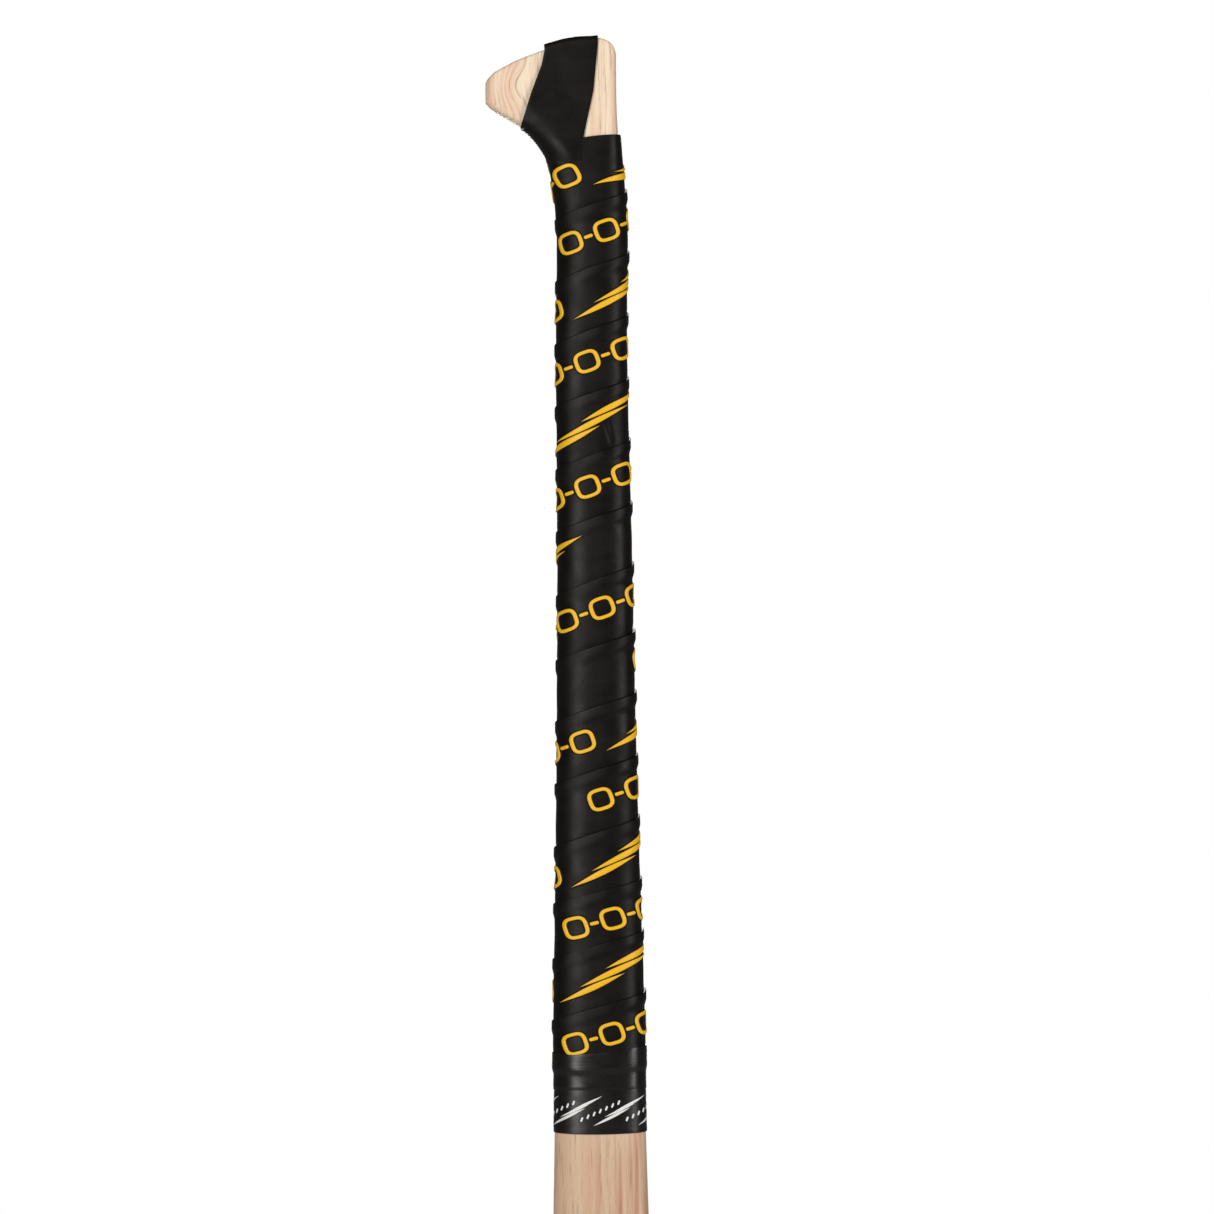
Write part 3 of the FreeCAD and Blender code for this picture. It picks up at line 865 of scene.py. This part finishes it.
def print_strokes(place):
    """One repeat of the print: three pointed streaks and a row of slanted ticks."""
    streaks = (((-12.0, -6.6), (4.5, 1.4), 0.62), ((-4.5, -1.4), (12.0, 6.6), 0.62),
               ((-7.0, -2.6), (6.0, 2.9), 0.5))
    strokes = [bar((place + left, low), (place + right, high), half_width, 18, pointed=True)
               for (left, low), (right, high), half_width in streaks]
    for k in range(PRINT_TICKS):
        along = (k - 3) * TICK_SPACING
        foot = (place + 10.6 + along, along * 0.45 - 1.0)
        strokes.append(bar(foot, (foot[0] + 0.8, foot[1] + 2.0), 0.42, 8))
    return strokes


def make_tape_print(material):
    """White marks round the second tape, slightly proud of it."""
    middle = (TAPE_JOINT + TAPE_END) / 2
    girth = handle.girth(middle)

    def surface(right, up, height):
        return handle.point(middle - up, 0.36 - right / girth, 0.62 + np.maximum(height, -0.02))

    strokes = []
    for i in range(PRINT_REPEATS):
        strokes += print_strokes(i * girth / PRINT_REPEATS)
    points, faces = stroke_mesh(strokes, 0.03, 0.03, 0.0, surface)
    new_piece("tape_print_marks", points, faces, material)


# ---------------------------------------------------------------- bands, stage and camera

def finish_steel(names, steel):
    """The CAD meshes stay as they are and only get their material and slot."""
    for name in names:
        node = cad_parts[name]
        if not node.data.materials:
            node.data.materials.append(steel)
        for index in range(len(node.data.materials)):
            node.data.materials[index] = steel


def around(azimuth, distance, height):
    """A place at an azimuth round the stick: 0 is in front (-Y), 90 is on the +X side."""
    angle = math.radians(azimuth)
    return Vector((math.sin(angle) * distance, -math.cos(angle) * distance, height))


def softbox(name, azimuth, distance, height, width, tall, power):
    """A large lamp aimed at the grip, which isn't seen itself."""
    light = bpy.data.lights.new(name, "AREA")
    light.shape = "RECTANGLE"
    light.size = width
    light.size_y = tall
    light.energy = power
    light.color = LIGHT_COLOUR
    lamp = bpy.data.objects.new(name, light)
    bpy.context.collection.objects.link(lamp)
    lamp.location = around(azimuth, distance, height)
    lamp.rotation_mode = "QUATERNION"
    aim = Vector((0, 0, -0.1)) - lamp.location
    lamp.rotation_quaternion = aim.to_track_quat("-Z", "Y")
    lamp.visible_camera = False


def make_world():
    """A white background behind a faint warm fill light."""
    world = bpy.data.worlds.new("studio")
    bpy.context.scene.world = world
    world.use_nodes = True
    tree = world.node_tree
    tree.nodes.clear()
    seen = add_node(tree, "ShaderNodeBackground", (1, 1, 1, 1), 1.0)
    fill = add_node(tree, "ShaderNodeBackground", (1, 0.96, 0.92, 1), 0.14)
    path = tree.nodes.new("ShaderNodeLightPath")
    mix = add_node(tree, "ShaderNodeMixShader", path.outputs["Is Camera Ray"],
                   fill.outputs[0], seen.outputs[0])
    output = tree.nodes.new("ShaderNodeOutputWorld")
    tree.links.new(mix.outputs[0], output.inputs["Surface"])


def make_floor(lowest):
    """A pale disc just below the toe."""
    bpy.ops.mesh.primitive_circle_add(vertices=96, radius=FLOOR_RADIUS, fill_type="NGON",
                                      location=(0, 0, lowest))
    floor = bpy.context.object
    floor.name = "floor"
    material, _, shader = new_material("pale_floor", (0.42, 0.42, 0.42), 0.8, 0.2)
    shader.inputs["Emission Color"].default_value = (1, 1, 1, 1)
    shader.inputs["Emission Strength"].default_value = 0.1
    floor.data.materials.append(material)


def make_camera():
    """A long lens in front of the stick, level and very slightly rolled."""
    camera_data = bpy.data.cameras.new("camera")
    camera_data.lens = 200
    camera_data.sensor_width = 36
    camera = bpy.data.objects.new("camera", camera_data)
    bpy.context.collection.objects.link(camera)
    bpy.context.scene.camera = camera
    camera.location = Vector(CAMERA_PLACE)
    upright = Matrix.Rotation(math.radians(90), 4, "X")
    roll = Matrix.Rotation(math.radians(CAMERA_ROLL), 4, "Z")
    camera.rotation_mode = "QUATERNION"
    camera.rotation_quaternion = (upright @ roll).to_quaternion()
    camera_data.clip_start = 0.05
    camera_data.clip_end = 50


def make_object():
    """Every piece of the stick. The yellow marks lie on slightly wider black ones."""
    rubber = rubber_material()
    black_vinyl = (0.005, 0.0043, 0.004)
    make_wood(ash_material())
    make_strip(rubber)
    make_strap(rubber)
    make_motifs("motif_beads", motif_material(), lift=0.2, height=0.42, grow=0.0)
    make_motifs("motif_bases", rubber, lift=0.0, height=0.26, grow=0.6)
    make_plain_tape(vinyl_material("plain_vinyl", black_vinyl, 0.25))
    make_printed_tape(vinyl_material("printed_vinyl", black_vinyl, 0.29))
    make_tape_print(print_material())
    finish_steel(("toe_band", "heel_band"), steel_material("tinned_band", (0.68, 0.67, 0.64), 0.34))
    finish_steel(("toe_band_tacks", "heel_band_tacks"), steel_material("tack", (0.52, 0.5, 0.46), 0.4))


make_object()
bpy.context.view_layer.update()
visual_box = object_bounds()
make_world()
make_floor(min(cad_box[0].z, visual_box[0].z) - 0.0005)
for lamp_settings in SOFTBOXES:
    softbox(*lamp_settings)
make_camera()
bpy.context.scene.view_settings.view_transform = "Standard"
